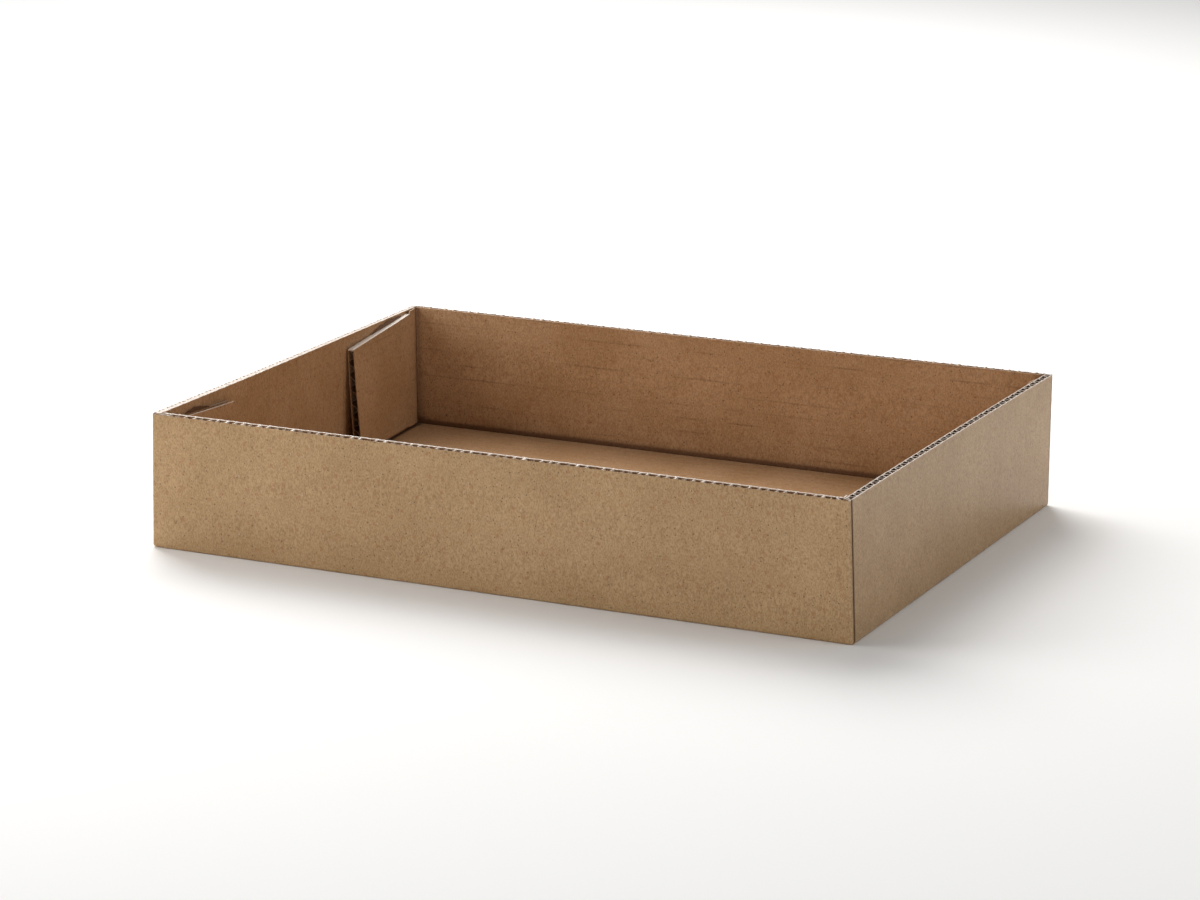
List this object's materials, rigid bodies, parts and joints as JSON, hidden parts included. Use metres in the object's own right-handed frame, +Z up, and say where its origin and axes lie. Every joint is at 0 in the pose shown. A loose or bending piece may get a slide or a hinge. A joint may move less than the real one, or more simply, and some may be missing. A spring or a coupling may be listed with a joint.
{
  "type": "cardboard tray box",
  "caption": "Shallow open-topped rectangular tray, folded and glued from one sheet of brown corrugated board, with tapered corner tabs inside its end walls.",
  "frame": {"origin": "middle of the underside of the bottom", "axes": "+X along the tray's length, +Y across its width, +Z up out of the open top"},
  "size_m": [0.46, 0.336, 0.085],
  "materials": {
    "kraft_board": "brown kraft liner, matt with a faint calender sheen, paler at its cut edges"
  },
  "bodies": {
    "root": {"tray": "kraft_board"}
  },
  "joints": []
}
